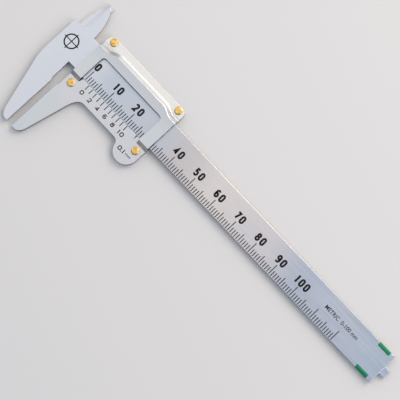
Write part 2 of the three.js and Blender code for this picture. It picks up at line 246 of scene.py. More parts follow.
# Satin stainless, belt ground along its length and then tumbled: fine lengthwise grain that breaks
# the reflection up softly, with faint clouding where the sheet was handled. The painted-light bands are
# painted reflection, highlight and shade laid into the colour: a slow drift of brightness and tint by place.
# Noise hardly leaves 0.3 to 0.7, so that range is what is spread out.
def satinStainless(name, finish):
    material, tree, shader = newMaterial(name, {"Metallic": 1.0, "Roughness": finish["roughness"]})
    place = addNode(tree, "ShaderNodeTexCoord").outputs["Object"]
    grainStretch = addNode(tree, "ShaderNodeMapping", {"Scale": finish["grain"]}, {"Vector": place})
    grain = addNode(tree, "ShaderNodeTexNoise", {"Scale": 1.0, "Detail": 3.0, "Roughness": 0.6},
                    {"Vector": grainStretch.outputs[0]})
    cloud = addNode(tree, "ShaderNodeTexNoise", {"Scale": 1 / (finish["cloudSize"] * mm), "Detail": 3.0},
                    {"Vector": place})
    pores = addNode(tree, "ShaderNodeTexNoise", {"Scale": 1 / (finish["poreSize"] * mm), "Detail": 2.0},
                    {"Vector": place})
    tint = addNode(tree, "ShaderNodeMix", {"data_type": "RGBA"}, {0: cloud.outputs[0]})
    tint.inputs[6].default_value = linear(finish["cool"])
    tint.inputs[7].default_value = linear(finish["warm"])
    darkening = addNode(tree, "ShaderNodeMapRange", {1: 0.3, 2: 0.7, 3: finish["dark"], 4: 1.0},
                        {0: grain.outputs[0]})
    worn = addNode(tree, "ShaderNodeMix", {"data_type": "RGBA", "blend_type": "MULTIPLY", 0: 1.0},
                   {6: tint.outputs[2], 7: darkening.outputs[0]})
    axes = addNode(tree, "ShaderNodeSeparateXYZ", None, {0: place})
    low, high = finish["paintedLightBands"][0][0], finish["paintedLightBands"][-1][0]
    along = addNode(tree, "ShaderNodeMapRange", {1: low * mm, 2: high * mm},
                    {0: axes.outputs[finish["paintedLightAxis"]]})
    paintedLightBands = addNode(tree, "ShaderNodeValToRGB", None, {0: along.outputs[0]})
    paintedLightBands.color_ramp.interpolation = "EASE"
    elements = paintedLightBands.color_ramp.elements
    while len(elements) < len(finish["paintedLightBands"]):
        elements.new(0.5)
    for element, (position, code) in zip(elements, finish["paintedLightBands"]):
        element.position = (position - low) / (high - low)
        element.color = linear(code)
    withPaintedLight = addNode(tree, "ShaderNodeMix", {"data_type": "RGBA", "blend_type": "MULTIPLY", 0: 1.0},
                      {6: worn.outputs[2], 7: paintedLightBands.outputs[0]})
    finest, coarsest = finish["roughness"] - 0.05, finish["roughness"] + 0.07
    rough = addNode(tree, "ShaderNodeMapRange", {1: 0.3, 2: 0.7, 3: finest, 4: coarsest},
                    {0: grain.outputs[0]})
    relief = addNode(tree, "ShaderNodeMath", {"operation": "MULTIPLY_ADD", 1: 0.45},
                     {0: pores.outputs[0], 2: grain.outputs[0]})
    bump = addNode(tree, "ShaderNodeBump", {"Strength": finish["relief"], "Distance": 0.00002},
                   {"Height": relief.outputs[0]})
    tree.links.new(withPaintedLight.outputs[2], shader.inputs["Base Color"])
    tree.links.new(rough.outputs[0], shader.inputs["Roughness"])
    tree.links.new(bump.outputs[0], shader.inputs["Normal"])
    return material


# Real belt lines are some 0.05 mm apart; they are drawn 0.3 mm apart and 14 mm long so that they show.
# The bands along X are painted reflection: bright at the head, dimmer past the jaw, warm in the middle and
# cool towards the far end.
beamSteel = satinStainless("satinStainlessBeam", {
    "cool": "#cbcfd8", "warm": "#d6d4d3", "dark": 0.93, "roughness": 0.34, "relief": 0.35,
    "grain": (1 / (14 * mm), 1 / (0.3 * mm), 1 / (0.3 * mm)), "cloudSize": 18, "poreSize": 0.35,
    "paintedLightAxis": 0, "paintedLightBands": [(x + beamDatum.x, code) for x, code in (
        (-9.0, "#f6f6f5"), (4.0, "#f4f4f4"), (16.0, "#dfe3e6"), (36.0, "#dde0e4"), (50.0, "#e5deda"),
        (66.0, "#fcf2e7"), (90.0, "#f6eeea"), (106.0, "#dfe2e8"), (122.0, "#e8ebf1"), (145.0, "#e6f0f6"))],
})
# The bands across Y are painted light: painted shade that tones down the ramp's highlights, and a bright,
# warm painted highlight over the upper flange.
sliderSteel = satinStainless("satinStainlessSlider", {
    "cool": "#d8dade", "warm": "#e0dcd8", "dark": 0.95, "roughness": 0.33, "relief": 0.3,
    "grain": (1 / (9 * mm), 1 / (0.35 * mm), 1 / (0.35 * mm)), "cloudSize": 9, "poreSize": 0.35,
    "paintedLightAxis": 1, "paintedLightBands": [(y + stopLow.y, code) for y, code in (
        (-30.0, "#dde2e2"), (-13.0, "#dfe3e3"), (-6.0, "#e4e3e5"), (6.0, "#dfe3e3"), (13.2, "#d6d8da"),
        (15.0, "#fffcf4"), (18.0, "#fffaf0"))],
})


# A finish of two close shades mixed by noise, whose same noise lifts the surface by the relief, if any.
# The grain's sizes and the relief are in millimetres.
def twoToneFinish(name, finish):
    material, tree, shader = newMaterial(name, finish["shader"])
    place = addNode(tree, "ShaderNodeTexCoord").outputs["Object"]
    scaled = addNode(tree, "ShaderNodeMapping", {"Scale": [1 / (size * mm) for size in finish["grain"]]},
                     {"Vector": place})
    noise = addNode(tree, "ShaderNodeTexNoise", {"Scale": 1.0, "Detail": finish["detail"]},
                    {"Vector": scaled.outputs[0]})
    tint = addNode(tree, "ShaderNodeValToRGB", None, {0: noise.outputs[0]})
    for element, (position, code) in zip(tint.color_ramp.elements, finish["shades"]):
        element.position, element.color = position, linear(code)
    tree.links.new(tint.outputs[0], shader.inputs["Base Color"])
    if "relief" in finish:
        lift = {"Strength": finish["strength"], "Distance": finish["relief"] * mm}
        bump = addNode(tree, "ShaderNodeBump", lift, {"Height": noise.outputs[0]})
        tree.links.new(bump.outputs[0], shader.inputs["Normal"])
    return material


# The wall that a blanking die leaves: torn through the thickness and duller than ground faces. Its dark
# colour is partly that torn steel and partly painted shade, which stands in for the shadow line along the
# window's edges.
shearedEdgeAndPaintedShade = twoToneFinish("shearedEdgeWithPaintedShade", {
    "shader": {"Metallic": 1.0, "Roughness": 0.55}, "grain": (0.2, 0.2, 2), "detail": 2.0,
    "shades": ((0.0, "#33363b"), (1.0, "#6a6e75")), "strength": 0.4, "relief": 0.03,
})
# Brass wire, headed cold: a warm satin dome, mottled by the punch, duller in the hollows.
brass = twoToneFinish("coldHeadedBrass", {
    "shader": {"Metallic": 1.0, "Roughness": 0.36}, "grain": (0.9, 0.9, 0.9), "detail": 4.0,
    "shades": ((0.35, "#c89a4a"), (0.68, "#f0cb84")), "strength": 0.5, "relief": 0.06,
})
# Moulded polyethylene, coloured through: a waxy, even green with a faint moulded grain.
greenPlastic = twoToneFinish("mouldedGreenPlastic", {
    "shader": {"Roughness": 0.3, "IOR": 1.5, "Specular IOR Level": 0.3},
    "grain": (0.4, 0.4, 0.4), "detail": 3.0,
    "shades": ((0.0, "#00683e"), (1.0, "#008258")), "strength": 0.25, "relief": 0.03,
})
# Black enamel wiped into the etched marks: nearly matt, a touch uneven.
enamel = twoToneFinish("blackEnamelFill", {
    "shader": {"Roughness": 0.6, "Specular IOR Level": 0.25}, "grain": (0.5, 0.5, 0.5), "detail": 2.0,
    "shades": ((0.0, "#060607"), (1.0, "#121315")),
})
print("materials made")


# Gives a piece its material, and another on its upright walls if wanted, hangs it on its body and hides the
# nodes that it stands for.
def finishPiece(piece, material, body, slot, *nodes, walls=None):
    piece.data.materials.clear()
    piece.data.materials.append(material)
    if walls:
        piece.data.materials.append(walls)
        for face in piece.data.polygons:
            face.material_index = 1 if abs(face.normal.z) < 0.3 else 0
    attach(piece, body)
    if nodes:
        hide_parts(*nodes)
    return piece


jaw = {"reliefDepth": 0.45, "reliefHeight": 8.0, "tipBack": 3.6, "tipEnd": 2.16}  # both outside jaws
beam = {
    "headRadius": 1.0, "jawShoulder": 4.5, "shoulderRound": 3.0, "jawTipWidth": 3.0,
    "cutBack": 0.4, "cutBackRun": 4.2, "notchLeg": 1.27, "notchGap": 0.02, "edge": 0.2,
}
blade = {
    "offset": 5.5, "width": 5.1, "movingWidth": 4.6, "tip": 0.7, "belly": 4.65, "turn": 9.0,
    "land": 0.75, "knife": 1.5, "knifeStart": 1.0,
}
rod = {"grooveStart": 6.0, "gap": 0.06, "roof": 0.09, "tipRadius": 0.35, "edge": 0.16}
overshoot = 1.0  # how far a cutter runs out past what it cuts


# The prism that the knife bevel removes beside a measuring edge, away from the flat side landZ.
def knifeWedge(edgeX, side, landZ, farZ, datum):
    out = 1 if farZ > landZ else -1
    land = landZ + out * blade["land"]
    slope = (farZ - land) / blade["knife"]
    reach = blade["knife"] + overshoot / 2
    section = [(edgeX - side, land - slope), (edgeX + side * reach, land + slope * reach),
               (edgeX - side, land + slope * reach)]
    lowY = beamWidth + blade["knifeStart"]
    verts = [Vector((x, y, z)) + datum for y in (lowY, lowY + bladeHeight) for x, z in section]
    faces = [(0, 1, 2), (5, 4, 3), (0, 3, 4, 1), (1, 4, 5, 2), (2, 5, 3, 0)]
    return closedPiece("wedge", verts, faces)


def beamOutline():
    reach = beamHigh.x - beamDatum.x
    near = stopLow.x - beamDatum.x - beam["notchGap"]
    far = stopHigh.x - beamDatum.x + beam["notchGap"]
    leg, cut, relief = beam["notchLeg"], beam["cutBack"], jaw["reliefDepth"]
    edgeX, tipY = -blade["offset"], beamWidth + bladeHeight
    tip = (-beam["jawTipWidth"], -jawDepth)
    path = [(reach, 0), (reach, beamWidth), (far, beamWidth), (far, beamWidth - leg),
            (near, beamWidth - leg), (near, beamWidth), (edgeX + blade["width"], beamWidth)]
    bend(path, (edgeX + blade["belly"], beamWidth + blade["turn"]), (edgeX + blade["tip"], tipY))
    path += [(edgeX, tipY), (edgeX, beamWidth)]
    roundCorner(path, (-headWidth, beamWidth), (-headWidth, 0), beam["headRadius"])
    roundCorner(path, (-headWidth, -beam["jawShoulder"]), tip, beam["shoulderRound"])
    roundCorner(path, tip, (0, -jawDepth), jaw["tipBack"], jaw["tipEnd"])
    path += [(0, -jawDepth), (0, -jaw["reliefHeight"]), (-relief, relief - jaw["reliefHeight"]),
             (-relief, cut), (beam["cutBackRun"], cut), (beam["cutBackRun"] + cut, 0),
             (near, 0), (near, leg), (far, leg), (far, 0)]
    return path


# The slot in the beam's back that the depth rod slides in, open at the beam's end.
def rodGroove():
    middle = (rodLow.y + rodHigh.y) / 2 - beamDatum.y
    half = (rodHigh.y - rodLow.y) / 2 + rod["gap"]
    start, end = rod["grooveStart"], beamHigh.x - beamDatum.x + overshoot
    path = [(end, middle - half), (end, middle + half), (start, middle + half)]
    arc(path, (start, middle), half, math.pi / 2, math.pi * 1.5)
    path.append((start, middle - half))
    return plate("groove", path, beamLow.z - overshoot, rodHigh.z + rod["roof"], beamDatum)


beamPiece = plate("beamWithFixedJaw", beamOutline(), beamLow.z, beamFace, beamDatum)
cutAway(beamPiece, rodGroove(), knifeWedge(-blade["offset"], 1, beamLow.z, beamFace, beamDatum))
breakEdges(beamPiece, beam["edge"], 3)
shade(beamPiece)
finishPiece(beamPiece, beamSteel, "beam", "stainless", "beam_with_fixed_jaw")
print("beam made")


slider = {
    "flangeHeight": 5.5, "flangeRadius": 2.5, "skirtDepth": 5.85, "tipWidth": 3.4,
    "shoulder": 8.85, "filletIn": 4.75, "filletOut": 2.66,
    "lobeRadius": 4.65, "lobeDrop": 0.35, "lobeFillet": 2.0,
    "bridgeLow": 2.6, "bridgeInset": 0.4, "bridgeRound": 3.0, "edge": 0.11,
    "faceClearance": 0.02,  # so that the closed jaws' faces do not share a plane
}
rivet = {
    "nearInset": 3.0, "farInset": 2.6, "upperDrop": 1.5, "lowerDrop": 3.95, "shank": 0.8,
    "head": 1.45, "rise": 0.55, "rim": 0.42, "rimDepth": 0.36, "rimHeight": 0.33,
    "sinkRadius": 1.25, "sinkTop": 0.35, "sinkEnd": 0.8, "gap": 0.02, "sinkGap": 0.03,
}
pin = {"radius": 0.55, "first": 8.0, "pitch": 5.0, "gap": 0.02, "plateGap": 0.03, "steps": 24}
formed = {
    "rampRun": 1.5, "rampEase": 0.14, "lowerTop": 0.55, "lowerFoot": 1.75, "lowerEase": 0.12,
    "pocketHeight": 1.5, "pocketStart": 3.9, "pocketEnd": 2.4, "pocketBlend": 4.8,
    "nearArm": 4.0, "farArm": 4.4, "windowBar": 1.9, "windowRadius": 1.5, "draft": 0.14, "draftFoot": 0.6,
    "vernierEdge": -0.03, "slitWidth": 0.45, "slitInset": 1.6, "lance": 0.05,
}
flangeTop = beamWidth + slider["flangeHeight"]
windowStart = jaw["reliefDepth"] + formed["nearArm"]
windowEnd = sliderLength - formed["farArm"]
rivetPlaces = {
    row + column: (x, y)
    for row, y in (("Upper", flangeTop - rivet["upperDrop"]), ("Lower", -rivet["lowerDrop"]))
    for column, x in (("Near", rivet["nearInset"]), ("Far", sliderLength - rivet["farInset"]))
}
pinPlaces = [(pin["first"] + pin["pitch"] * i, beamWidth / 2) for i in range(2)]


def sliderOutline(withBlade):
    skirt, length, relief = -slider["skirtDepth"], sliderLength, jaw["reliefDepth"]
    lobe = (length - slider["lobeRadius"], skirt - slider["lobeDrop"])
    filletY = skirt - slider["lobeFillet"]
    apart = slider["lobeRadius"] + slider["lobeFillet"]
    filletX = lobe[0] - math.sqrt(apart ** 2 - (lobe[1] - filletY) ** 2)
    touch = math.atan2(filletY - lobe[1], filletX - lobe[0]) + math.tau
    corner = (slider["tipWidth"], -jawDepth)
    shoulder = (slider["shoulder"], skirt)
    face = slider["faceClearance"]
    path = [(face, -jawDepth)]
    roundCorner(path, corner, shoulder, jaw["tipEnd"], jaw["tipBack"])
    roundCorner(path, shoulder, (length, skirt), slider["filletIn"], slider["filletOut"])
    path.append((filletX, skirt))
    arc(path, (filletX, filletY), slider["lobeFillet"], math.pi / 2, touch - math.pi, 10)
    arc(path, lobe, slider["lobeRadius"], touch, math.tau, 36)
    roundCorner(path, (length, flangeTop), (0, flangeTop), slider["flangeRadius"])
    roundCorner(path, (relief, flangeTop), (relief, 0), slider["flangeRadius"])
    if withBlade:
        top, back = beamWidth - slider["bridgeInset"], -blade["offset"] - blade["movingWidth"]
        tipY, edgeX = beamWidth + bladeHeight, -blade["offset"]
        path += [(relief, top), (edgeX, top), (edgeX, tipY), (edgeX - blade["tip"], tipY)]
        bend(path, (edgeX - blade["belly"], beamWidth + blade["turn"]), (back, beamWidth))
        bridgeEnd = (relief, slider["bridgeLow"])
        roundCorner(path, (back, slider["bridgeLow"]), bridgeEnd, slider["bridgeRound"])
        path.append(bridgeEnd)
    path += [(relief, relief - jaw["reliefHeight"]), (face, -jaw["reliefHeight"])]
    return path


# Cutters for round holes, which run out past both faces of the sheet between low and high.
def holes(places, radius, low, high, steps=40):
    return [plate("hole", circle(place, radius, steps), low - overshoot, high + overshoot, sliderDatum)
            for place in places]


# The window, with the wedge slits at the ends of the vernier's edge and the lanced line at its far end.
def frameWindow():
    top = beamWidth - formed["windowBar"] - formed["draft"]
    foot, slit, edge = -formed["lowerFoot"], formed["slitWidth"], formed["vernierEdge"]
    far = windowEnd - formed["slitInset"]
    path = [(windowStart, foot), (windowStart + slit, edge), (far - slit / 2, edge), (far, foot),
            (far + slit / 2, edge), (windowEnd - formed["lance"], edge), (windowEnd, foot)]
    roundCorner(path, (windowEnd, top), (windowStart, top), formed["windowRadius"])
    roundCorner(path, (windowStart, top), (windowStart, 0), formed["windowRadius"])
    return plate("window", path, backHigh.z - formed["draftFoot"], flangeFace, sliderDatum, formed["draft"])


def smooth(t):
    t = min(max(t, 0.0), 1.0)
    return t * t * (3 - 2 * t)


# A straight slope from 0 to 1 that eases in and out over the bends at its ends.
def eased(t, ease):
    t = (t + ease) / (1 + 2 * ease)
    e = 2 * ease / (1 + 2 * ease)
    if t <= 0 or t >= 1:
        return min(max(t, 0.0), 1.0)
    if t < e:
        return t * t / (2 * e * (1 - e))
    if t > 1 - e:
        return 1 - (1 - t) ** 2 / (2 * e * (1 - e))
    return (t - e / 2) / (1 - e)


def frameTop(x):
    start, blendRun = formed["pocketStart"], formed["pocketBlend"]
    end = sliderLength - formed["pocketEnd"]
    swell = smooth((x - start) / blendRun) - smooth((x - end + blendRun) / blendRun)
    return beamWidth + formed["pocketHeight"] * swell


seam = 0.001  # points nearer than this to the window's ends move with the arms beside it


# How far the sheet is raised there, as a share of the full step.
def raised(x, y):
    if y > beamWidth / 2:
        return 1 - eased((y - frameTop(x)) / formed["rampRun"], formed["rampEase"])
    if windowStart + seam < x < windowEnd - seam and y < 1:
        return 0.0  # the vernier's edge stays down
    lowerRun = formed["lowerFoot"] - formed["lowerTop"]
    return 1 - eased((-formed["lowerTop"] - y) / lowerRun, formed["lowerEase"])


# Where the sheet is scored before it is pressed: the axis, first place, pitch and number of each set.
scoreSets = (("x", 2.3, 0.4, 19), ("x", 29.2, 0.4, 19), ("y", 11.6, 0.11, 35), ("y", -1.95, 0.1, 16))


# Scores the flat plate where it will bend, then presses it up.
def pressForm(piece):
    sheet = bmesh.new()
    sheet.from_mesh(piece.data)
    bmesh.ops.triangulate(sheet, faces=sheet.faces)
    for axis, first, pitch, count in scoreSets:
        normal = Vector((1, 0, 0)) if axis == "x" else Vector((0, 1, 0))
        for i in range(count):
            place = (normal * (pitch * i + first) + sliderDatum) * mm
            everything = list(sheet.verts) + list(sheet.edges) + list(sheet.faces)
            bmesh.ops.bisect_plane(sheet, geom=everything, plane_co=place, plane_no=normal, dist=1e-7)
    step = (frameFace - flangeFace) * mm
    for vert in sheet.verts:
        vert.co.z += step * raised(vert.co.x / mm - sliderDatum.x, vert.co.y / mm - sliderDatum.y)
    bmesh.ops.recalc_face_normals(sheet, faces=sheet.faces)
    sheet.to_mesh(piece.data)
    sheet.free()


frontPiece = plate("sliderFrontPlate", sliderOutline(False), backHigh.z, flangeFace, sliderDatum)
cutAway(frontPiece, frameWindow(),
        *holes(rivetPlaces.values(), rivet["shank"] + rivet["gap"], backHigh.z, flangeFace))
breakEdges(frontPiece, slider["edge"])
pressForm(frontPiece)
shade(frontPiece, 30)
# Its upright walls take the dark wall finish, which is partly torn steel and partly painted shade.
finishPiece(frontPiece, sliderSteel, "slider", "stainless", "slider_front_plate", walls=shearedEdgeAndPaintedShade)

backPiece = plate("sliderBackPlate", sliderOutline(True), backLow.z, backHigh.z, sliderDatum)
cutAway(backPiece, knifeWedge(-blade["offset"], -1, backHigh.z, backLow.z, sliderDatum),
        *holes(rivetPlaces.values(), rivet["sinkRadius"] + rivet["sinkGap"], backLow.z, backHigh.z),
        *holes(pinPlaces, pin["radius"] + pin["plateGap"], backLow.z, backHigh.z, pin["steps"]))
breakEdges(backPiece, slider["edge"])
shade(backPiece)
finishPiece(backPiece, beamSteel, "slider", "stainless", "slider_back_plate")
print("slider plates made")


# A pan head with a soft rim and a hollow left by the punch, and a tail swaged level with the back.
def rivetProfile():
    top, head, gap = flangeFace + rivet["rise"], rivet["head"], rivet["gap"]
    sink, shank = rivet["sinkRadius"], rivet["shank"]
    profile = [(0, 0.03), (sink * 0.8, 0.02), (sink, 0.06), (sink, rivet["sinkTop"]),
               (shank, rivet["sinkEnd"]), (shank, flangeFace + gap),
               (head * 0.96, flangeFace + gap), (head, flangeFace + 0.08)]
    for i in range(7):
        angle = math.pi / 2 * i / 6
        profile.append((head - rivet["rim"] * (1 - math.cos(angle)),
                        top - rivet["rimDepth"] + rivet["rimHeight"] * math.sin(angle)))
    return profile + [(head * 0.45, top), (head * 0.2, top - 0.01), (0, top - 0.015)]


for key, place in rivetPlaces.items():
    piece = turned("rivet" + key, rivetProfile(), *place, sliderDatum)
    shade(piece, 40)
    finishPiece(piece, brass, "slider", "brass", "rivet_" + key[:5].lower() + "_" + key[5:].lower())


# A straight pin, flush with the back and with the rod's top, its ends broken.
def pinProfile():
    radius, top = pin["radius"], rodHigh.z
    return [(0, 0.02), (radius - 0.08, 0.02), (radius, 0.1),
            (radius, top - 0.05), (radius - 0.05, top), (0, top)]


for number, place in enumerate(pinPlaces, 1):
    piece = turned("rodPin%d" % number, pinProfile(), *place, sliderDatum, pin["steps"])
    shade(piece, 40)
    finishPiece(piece, sliderSteel, "slider", "stainless", "depth_rod_pin_%d" % number)


def rodOutline():
    low, high = rodLow.y - sliderDatum.y, rodHigh.y - sliderDatum.y
    start, end, root = rodLow.x - sliderDatum.x, rodHigh.x - sliderDatum.x, (high - low) / 3
    path = [(start + root, low)]
    roundCorner(path, (end, low), (end, high), rod["tipRadius"], steps=6)
    roundCorner(path, (end, high), (start, high), rod["tipRadius"], steps=6)
    roundCorner(path, (start, high), (start, low), root)
    roundCorner(path, (start, low), (end, low), root)
    return path[:-1]


rodPiece = plate("depthRod", rodOutline(), rodLow.z, rodHigh.z, sliderDatum)
cutAway(rodPiece, *holes(pinPlaces, pin["radius"] + pin["gap"], rodLow.z, rodHigh.z, pin["steps"]))
breakEdges(rodPiece, rod["edge"], 3)
shade(rodPiece)
finishPiece(rodPiece, beamSteel, "slider", "stainless", "depth_rod")

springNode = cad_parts["leaf_spring"]
springNode.data.materials.clear()
springNode.data.materials.append(brass)
print("rivets, pins and rod made")


stop = {"leg": 1.25, "lip": 0.2, "bridge": 0.96, "clearance": 0.03, "rest": 0.02,
        "chamfer": 0.25, "crown": 0.75, "lipEdge": 0.06, "endRound": 0.12}


# The clip's section across the beam: a flat bridge behind, and a round-backed leg up each notch
# whose lip rests on the beam. Its outside is drawn in by the inset, which rounds the moulded ends.
def stopSection(inset):
    top, lipZ = stopHigh.z - inset, beamFace + stop["rest"]
    leg, edge, chamfer = stop["leg"], stop["lipEdge"], stop["chamfer"] + inset
    lip = leg + stop["lip"] - inset
    half = [(chamfer, inset), (inset, chamfer)]
    for i in range(13):
        angle = math.pi * (1 - i / 12)
        fall = stop["crown"] if i < 6 else top - lipZ - edge
        across = (lip + inset + (lip - inset) * math.cos(angle)) / 2
        half.append((across, top - fall + fall * math.sin(angle)))
    half += [(lip - edge, lipZ), (leg - inset, lipZ), (leg - inset, stop["bridge"])]
    return half + [(beamWidth - y, z) for y, z in reversed(half)]


# The clip, lofted along X through its sections, with its rounded ends closed leg by leg.
def makeStop():
    near, far, ends = stopLow.x + stop["clearance"], stopHigh.x, stop["endRound"]
    swing = [math.pi / 2 * i / 3 for i in range(4)]
    stations = [(near + ends * (1 - math.cos(a)), ends * (1 - math.sin(a))) for a in swing]
    stations += [(far - ends * (1 - math.cos(a)), ends * (1 - math.sin(a))) for a in reversed(swing)]
    rings = [[(x, y + beamDatum.y, z) for y, z in stopSection(inset)] for x, inset in stations]
    count, last = len(rings[0]), (len(rings) - 1) * len(rings[0])
    corner = count // 2 - 1
    faces = []
    for base in (0, last):
        faces += [tuple(base + i for i in range(corner + 1)),
                  tuple(base + i for i in range(corner + 1, count)),
                  (base, base + corner, base + corner + 1, base + count - 1)]
    for base in range(0, last, count):
        faces += [(base + i, base + i + count, base + (i + 1) % count + count, base + (i + 1) % count)
                  for i in range(count)]
    piece = closedPiece("endStopClip", [point for ring in rings for point in ring], faces)
    shade(piece, 32)
    return piece


finishPiece(makeStop(), greenPlastic, "beam", "green_plastic", "end_stop_clip")
print("end stop made")


# A row of marks along X: every mark is a thin bar whose length depends on its place in the row.
def graduationTree():
    tree = bpy.data.node_groups.new("graduations", "GeometryNodeTree")
    face = tree.interface
    face.new_socket("Geometry", in_out="INPUT", socket_type="NodeSocketGeometry")
    face.new_socket("Geometry", in_out="OUTPUT", socket_type="NodeSocketGeometry")
    for label in ("Marks", "Every long", "Every middle"):
        face.new_socket(label, in_out="INPUT", socket_type="NodeSocketInt")
    for label in ("Pitch", "Width", "Short", "Middle", "Long", "Depth", "Direction"):
        face.new_socket(label, in_out="INPUT", socket_type="NodeSocketFloat")
    face.new_socket("Start", in_out="INPUT", socket_type="NodeSocketVector")
    face.new_socket("Fill", in_out="INPUT", socket_type="NodeSocketMaterial")
    given = addNode(tree, "NodeGroupInput").outputs
    step = addNode(tree, "ShaderNodeCombineXYZ", None, {"X": given["Pitch"]})
    row = addNode(tree, "GeometryNodeMeshLine", {"mode": "OFFSET"}, {
        "Count": given["Marks"], "Start Location": given["Start"], "Offset": step.outputs[0]})
    index = addNode(tree, "GeometryNodeInputIndex").outputs[0]

    def everyNth(every):
        rest = addNode(tree, "ShaderNodeMath", {"operation": "MODULO"}, {0: index, 1: every})
        return addNode(tree, "FunctionNodeCompare", {"data_type": "FLOAT", "operation": "LESS_THAN", 1: 0.5},
                       {0: rest.outputs[0]}).outputs[0]

    someLength = addNode(tree, "GeometryNodeSwitch", {"input_type": "FLOAT"}, {
        0: everyNth(given["Every middle"]), 1: given["Short"], 2: given["Middle"]})
    length = addNode(tree, "GeometryNodeSwitch", {"input_type": "FLOAT"}, {
        0: everyNth(given["Every long"]), 1: someLength.outputs[0], 2: given["Long"]}).outputs[0]
    signed = addNode(tree, "ShaderNodeMath", {"operation": "MULTIPLY"}, {0: length, 1: given["Direction"]})
    halfway = addNode(tree, "ShaderNodeMath", {"operation": "MULTIPLY", 1: 0.5}, {0: signed.outputs[0]})
    shift = addNode(tree, "ShaderNodeCombineXYZ", None, {"Y": halfway.outputs[0]})
    centred = addNode(tree, "GeometryNodeSetPosition", None, {
        "Geometry": row.outputs[0], "Offset": shift.outputs[0]})
    size = addNode(tree, "ShaderNodeCombineXYZ", None, {
        "X": given["Width"], "Y": length, "Z": given["Depth"]})
    bar = addNode(tree, "GeometryNodeMeshCube", {"Size": (1, 1, 1)})
    marks = addNode(tree, "GeometryNodeInstanceOnPoints", None, {
        "Points": centred.outputs[0], "Instance": bar.outputs[0], "Scale": size.outputs[0]})
    real = addNode(tree, "GeometryNodeRealizeInstances", None, {0: marks.outputs[0]})
    filled = addNode(tree, "GeometryNodeSetMaterial", None, {
        "Geometry": real.outputs[0], "Material": given["Fill"]})
    addNode(tree, "NodeGroupOutput", None, {0: filled.outputs[0]})
    return tree


graduations = graduationTree()
inlay = {"proud": 0.006, "depth": 0.05, "lift": 0.0012}  # crossing strokes differ by the lift


def makeGraduations(name, scale, face, datum, body):
    piece = newPiece(name, bpy.data.meshes.new(name))
    modifier = piece.modifiers.new("graduations", "NODES")
    modifier.node_group = graduations
    inputs = [item for item in graduations.interface.items_tree if item.in_out == "INPUT"]
    socketOf = {item.name: item.identifier for item in inputs}
    start = Vector((scale["start"], scale["foot"], face + inlay["proud"] - inlay["depth"] / 2)) + datum
    values = {
        "Marks": scale["marks"], "Every long": scale["everyLong"], "Every middle": scale["everyMiddle"],
        "Pitch": scale["pitch"] * mm, "Width": scale["width"] * mm, "Short": scale["short"] * mm,
        "Middle": scale["middle"] * mm, "Long": scale["long"] * mm, "Depth": inlay["depth"] * mm,
        "Direction": scale["direction"], "Start": start * mm, "Fill": enamel,
    }
    for label, value in values.items():
        modifier[socketOf[label]] = value
    piece.data.update()
    applyModifiers(piece)
    return finishPiece(piece, enamel, body, "stainless")


mainScale = {
    "start": 8.0, "foot": 0.3, "marks": 121, "everyLong": 10, "everyMiddle": 5, "pitch": 1.0,
    "width": 0.31, "short": 2.15, "middle": 3.15, "long": 4.1, "direction": 1.0,
}
vernierScale = {
    "start": 8.0, "foot": -0.12, "marks": 11, "everyLong": 1, "everyMiddle": 1, "pitch": 1.9,
    "width": 0.3, "short": 2.05, "middle": 2.05, "long": 2.05, "direction": -1.0,
}
makeGraduations("mainGraduations", mainScale, beamFace, beamDatum, "beam")
makeGraduations("vernierGraduations", vernierScale, flangeFace, sliderDatum, "slider")


# Points along part of an ellipse, between two angles in degrees.
def turn(centreX, centreY, radiusX, radiusY, start, end, steps=12):
    angles = [math.radians(start + (end - start) * i / steps) for i in range(steps + 1)]
    return [(centreX + radiusX * math.cos(a), centreY + radiusY * math.sin(a)) for a in angles]


sixStroke = turn(0.5, 0.74, 0.5, 0.26, 35, 180) + turn(0.5, 0.28, 0.5, 0.28, 180, 540, 20)
# Pen strokes of each numeral, in a box one wide and one high. A closed stroke ends where it starts.
numeralStrokes = {
    "0": [turn(0.5, 0.74, 0.5, 0.26, 0, 180) + turn(0.5, 0.26, 0.5, 0.26, 180, 360) + [(1, 0.74)]],
    "1": [[(0.72, -0.1), (0.72, 1.1)], [(0.72, 0.98), (0.02, 0.84)]],
    "2": [turn(0.5, 0.73, 0.48, 0.27, 165, -20) + [(0.72, 0.42), (0.02, 0), (1, 0)]],
    "3": [turn(0.47, 0.76, 0.46, 0.24, 160, -75, 10) + turn(0.47, 0.26, 0.53, 0.26, 75, -160, 12)],
    "4": [[(0.76, 0), (0.76, 1), (0, 0.28), (1.04, 0.28)]],
    "5": [[(0.94, 1), (0.14, 1), (0.08, 0.57)] + turn(0.48, 0.31, 0.5, 0.31, 128, -160)],
    "6": [sixStroke],
    "7": [[(0, 1), (0.98, 1), (0.34, 0)]],
    "8": [turn(0.5, 0.77, 0.43, 0.23, 0, 360, 18), turn(0.5, 0.28, 0.5, 0.28, 0, 360, 20)],
    "9": [[(1 - x, 1 - y) for x, y in sixStroke]],
}


